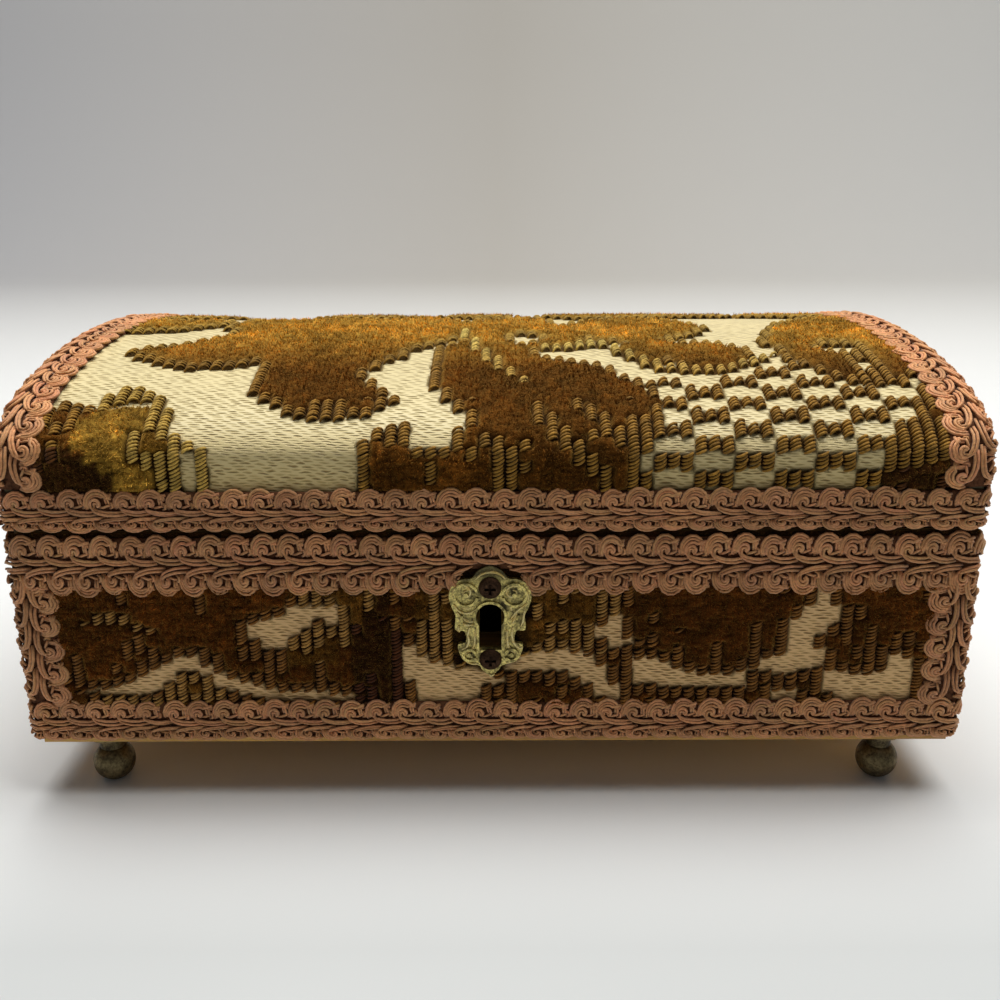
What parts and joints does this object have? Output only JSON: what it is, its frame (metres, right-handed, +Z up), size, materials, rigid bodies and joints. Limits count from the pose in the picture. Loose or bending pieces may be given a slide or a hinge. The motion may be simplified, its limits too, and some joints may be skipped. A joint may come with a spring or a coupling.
{
  "type": "keepsake box",
  "caption": "Dome-topped wooden keepsake box covered in floral cut velvet, with gimp braid edges, ball feet, a lock escutcheon and a hinged lid.",
  "frame": {"origin": "on the surface that the feet stand on, under the middle of the box's overall reach", "axes": "+X to the right as seen from the front, +Y to the back with the hinges, +Z up; the keyhole faces -Y"},
  "size_m": [0.224, 0.1536, 0.104],
  "materials": {
    "wood": "satin varnish",
    "velvet": "cut and loop velvet on a satin ground",
    "gimp": "silk-wrapped scroll gimp cord",
    "lining": "short pile velvet",
    "antique_gold": "antique gold with dark patina in the recesses",
    "antique_brass": "darkened, worn bright on the ball",
    "lock_brass": "plain stamped brass",
    "dark_screw": "dark bronzed",
    "steel": "plain"
  },
  "bodies": {
    "case": {"bottom_board": "wood", "front_wall": "wood", "back_wall": "wood", "left_wall": "wood", "right_wall": "wood", "front_fabric": "velvet", "back_fabric": "velvet", "left_fabric": "velvet", "right_fabric": "velvet", "rim_braid": "gimp", "base_braid": "gimp", "corner_braids": "gimp", "floor_pad": "lining", "wall_lining": "lining", "ball_foot_front_left": "antique_brass", "ball_foot_front_right": "antique_brass", "ball_foot_back_left": "antique_brass", "ball_foot_back_right": "antique_brass", "lock_plate": "lock_brass", "lock_cap": "lock_brass", "lock_screws": "lock_brass", "hinge_left_case_leaf": "lock_brass", "hinge_right_case_leaf": "lock_brass", "hinge_pins": "lock_brass", "hinge_case_screws": "lock_brass", "escutcheon": "antique_gold", "escutcheon_screws": "dark_screw", "lock_spring": "steel"},
    "lid": {"lid_front_rail": "wood", "lid_back_rail": "wood", "lid_left_end": "wood", "lid_right_end": "wood", "lid_panel": "wood", "lid_top_fabric": "velvet", "lid_left_fabric": "velvet", "lid_right_fabric": "velvet", "lid_rim_braid": "gimp", "lid_left_arch_braid": "gimp", "lid_right_arch_braid": "gimp", "lid_lining": "lining", "lid_end_linings": "lining", "lock_strike": "lock_brass", "strike_screws": "lock_brass", "hinge_left_lid_leaf": "lock_brass", "hinge_right_lid_leaf": "lock_brass", "hinge_lid_screws": "lock_brass"},
    "bolt": {"lock_bolt": "steel"}
  },
  "joints": [
    {"name": "lid_hinge", "type": "hinge", "parent": "case", "child": "lid", "pos_m": [0, 0.07409, 0.0674], "axis": [-1, 0, 0], "range_deg": [0, 95]},
    {"name": "bolt_slide", "type": "slide", "parent": "case", "child": "bolt", "axis": [1, 0, 0], "range_m": [0, 0.004]}
  ]
}
